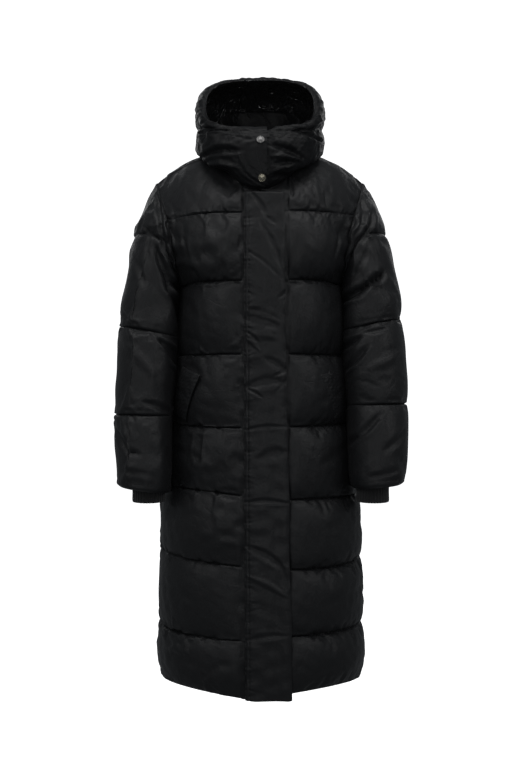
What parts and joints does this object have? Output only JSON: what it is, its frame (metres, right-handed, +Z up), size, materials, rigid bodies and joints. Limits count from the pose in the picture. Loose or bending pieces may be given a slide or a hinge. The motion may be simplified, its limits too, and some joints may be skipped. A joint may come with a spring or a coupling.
{
  "type": "long puffer coat",
  "caption": "Long hooded puffer coat, worn and closed, with horizontal quilted channels, covered front, set-in sleeves, rib cuffs and slanted pocket welts.",
  "frame": {"origin": "between the shoulders, at the height of the high points of the shoulder seams, where the wearer holds the coat up", "axes": "+Z up, the front faces -Y, the wearer's left sleeve is on +X"},
  "size_m": [0.617, 0.3685, 1.3177],
  "materials": {
    "shell_cloth": "black plain-woven polyester with a soft sheen",
    "rib_knit": "matt black rib knit",
    "zip_tape": "black woven tape with a moulded chain",
    "snap_metal": "pewter-coloured press stud caps"
  },
  "bodies": {
    "root": {"front_right": "shell_cloth", "front_left": "shell_cloth", "back": "shell_cloth", "storm_flap": "shell_cloth", "sleeve_right": "shell_cloth", "sleeve_left": "shell_cloth", "cuff_right": "rib_knit", "cuff_left": "rib_knit", "hood_side_right": "shell_cloth", "hood_side_left": "shell_cloth", "hood_center": "shell_cloth", "collar": "shell_cloth", "front_zip": "zip_tape", "pocket_welt_right": "shell_cloth", "pocket_welt_left": "shell_cloth", "snap_upper": "snap_metal", "snap_lower": "snap_metal"}
  },
  "joints": []
}
